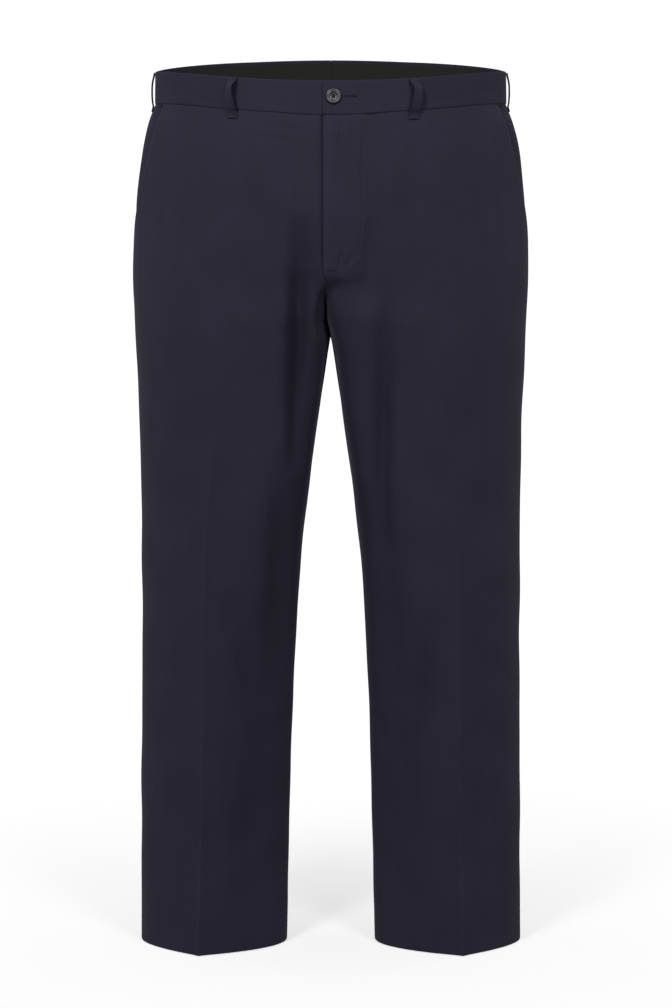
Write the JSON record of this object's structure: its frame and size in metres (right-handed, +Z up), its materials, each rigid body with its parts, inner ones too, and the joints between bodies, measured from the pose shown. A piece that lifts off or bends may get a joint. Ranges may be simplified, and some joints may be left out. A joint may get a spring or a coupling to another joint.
{
  "type": "dress trousers",
  "caption": "Flat-front straight-leg dress trousers in dark cloth, filled out as worn, with pressed creases, slanted pockets, a buttoned waistband with belt loops and plain hems.",
  "frame": {"origin": "middle of the waist opening, at the height of the waistband's top edge at the sides", "axes": "+Z is up, from the hems to the waist; -Y is the front, with the fly; +X is the wearer's left"},
  "size_m": [0.4966, 0.2736, 1.1285],
  "materials": {
    "suiting": "fine wool twill, soft sheen",
    "band_facing": "matt woven lining",
    "button_resin": "polished dark resin"
  },
  "bodies": {
    "root": {"front_left": "suiting", "front_right": "suiting", "back_left": "suiting", "back_right": "suiting", "waistband_left": "suiting", "waistband_right": "suiting", "band_facing_left": "band_facing", "band_facing_right": "band_facing", "pocket_facing_left": "suiting", "pocket_facing_right": "suiting", "fly_shield": "suiting", "belt_loop_front_right": "suiting", "belt_loop_front_left": "suiting", "belt_loop_side_right": "suiting", "belt_loop_side_left": "suiting", "belt_loop_back_right": "suiting", "belt_loop_back_left": "suiting", "belt_loop_centre": "suiting", "button": "button_resin"}
  },
  "joints": []
}
